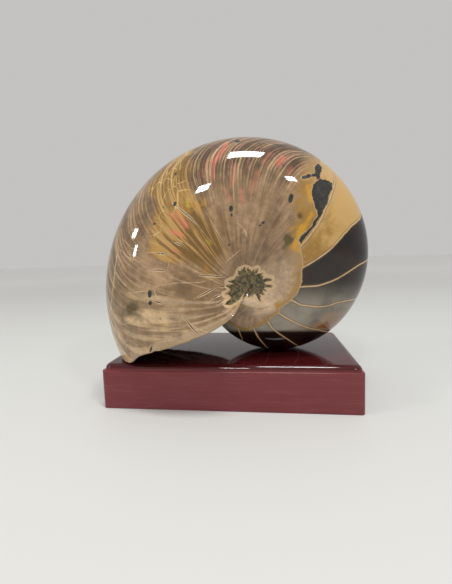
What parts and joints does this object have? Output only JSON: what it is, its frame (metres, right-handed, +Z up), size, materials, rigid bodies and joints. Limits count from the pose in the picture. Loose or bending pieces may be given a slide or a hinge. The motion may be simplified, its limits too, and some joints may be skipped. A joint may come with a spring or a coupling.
{
  "type": "polished fossil nautilus on a plinth",
  "caption": "Whole polished fossil nautilus with stone-filled mouth and navels, resting on a lacquered wooden block with a moulded top edge; a display piece.",
  "frame": {"origin": "middle of the plinth's underside, on the surface that it stands on", "axes": "+X to the right of the displayed side, +Y to the back, +Z up"},
  "size_m": [0.2203, 0.1359, 0.2131],
  "materials": {
    "fossil": "polished, clear gloss",
    "lacquer": "dark red gloss lacquer"
  },
  "bodies": {
    "root": {"shell": "fossil", "plinth": "lacquer"}
  },
  "joints": []
}
